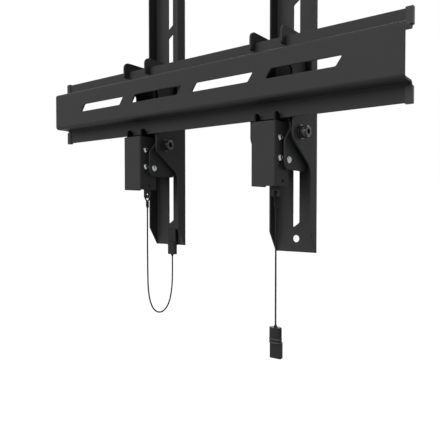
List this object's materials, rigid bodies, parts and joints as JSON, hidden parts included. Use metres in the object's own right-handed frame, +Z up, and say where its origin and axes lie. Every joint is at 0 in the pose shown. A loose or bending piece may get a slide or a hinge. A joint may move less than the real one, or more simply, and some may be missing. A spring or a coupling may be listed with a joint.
{
  "type": "tilting tv wall bracket",
  "caption": "Tilting wall bracket for a flat screen: a slotted steel rail with hook-on arms that slide, tilt and lock to it by corded spring latches.",
  "frame": {"origin": "the middle of the rail, on the wall face of its web", "axes": "+X along the rail, to the right as seen from the room; +Y into the wall; +Z up"},
  "size_m": [0.5024, 0.086, 0.5482],
  "materials": {
    "black_steel": "satin black powder coat on folded sheet steel",
    "zinc_steel": "bright zinc plated steel",
    "blackened_steel": "black oxide on hardened steel",
    "black_plastic": "fine moulded texture",
    "nylon": "plain black nylon",
    "black_cord": "braided cord",
    "nickel": "nickel plated magnet"
  },
  "bodies": {
    "rail": {"wall_rail": "black_steel", "lip_end_caps": "black_plastic"},
    "hook_right": {"hook_bracket_right": "black_steel", "latch_cover_right": "black_steel", "guide_rivet_right": "zinc_steel", "tail_rivet_right": "zinc_steel", "latch_spring_right": "zinc_steel", "pivot_screw_right": "blackened_steel", "pivot_nut_right": "blackened_steel", "pivot_washers_right": "blackened_steel", "tilt_discs_right": "nylon", "pivot_spacers_right": "zinc_steel", "tail_spacers_right": "zinc_steel", "pull_cord_right": "black_cord"},
    "latch_right": {"latch_slider_right": "black_steel", "latch_pin_right": "zinc_steel", "cord_eye_right": "black_cord"},
    "arm_right": {"tv_arm_right": "black_steel", "pull_tab_right": "black_plastic", "tab_magnet_right": "nickel"},
    "hook_left": {"hook_bracket_left": "black_steel", "latch_cover_left": "black_steel", "guide_rivet_left": "zinc_steel", "tail_rivet_left": "zinc_steel", "latch_spring_left": "zinc_steel", "pivot_screw_left": "blackened_steel", "pivot_nut_left": "blackened_steel", "pivot_washers_left": "blackened_steel", "tilt_discs_left": "nylon", "pivot_spacers_left": "zinc_steel", "tail_spacers_left": "zinc_steel"},
    "latch_left": {"latch_slider_left": "black_steel", "latch_pin_left": "zinc_steel", "cord_eye_left": "black_cord", "pull_cord_left": "black_cord", "pull_tab_left": "black_plastic", "tab_magnet_left": "nickel"},
    "arm_left": {"tv_arm_left": "black_steel"}
  },
  "joints": [
    {"name": "arm_right_slide", "type": "slide", "parent": "rail", "child": "hook_right", "axis": [1, 0, 0], "range_m": [-0.05, 0.1]},
    {"name": "arm_right_tilt", "type": "hinge", "parent": "hook_right", "child": "arm_right", "pos_m": [0.1, -0.0422, -0.0568], "axis": [1, 0, 0], "range_deg": [0, 15], "deforming": ["pull_cord_right"]},
    {"name": "latch_right_pull", "type": "slide", "parent": "hook_right", "child": "latch_right", "axis": [0, 0, 1], "range_m": [-0.0073, 0], "stiffness_N_per_m": 800, "springref_m": 0.006, "deforming": ["latch_spring_right"]},
    {"name": "arm_left_slide", "type": "slide", "parent": "rail", "child": "hook_left", "axis": [1, 0, 0], "range_m": [-0.1, 0.05]},
    {"name": "arm_left_tilt", "type": "hinge", "parent": "hook_left", "child": "arm_left", "pos_m": [-0.1, -0.0422, -0.0568], "axis": [1, 0, 0], "range_deg": [0, 15]},
    {"name": "latch_left_pull", "type": "slide", "parent": "hook_left", "child": "latch_left", "axis": [0, 0, 1], "range_m": [-0.0073, 0], "stiffness_N_per_m": 800, "springref_m": 0.006, "deforming": ["latch_spring_left"]}
  ]
}
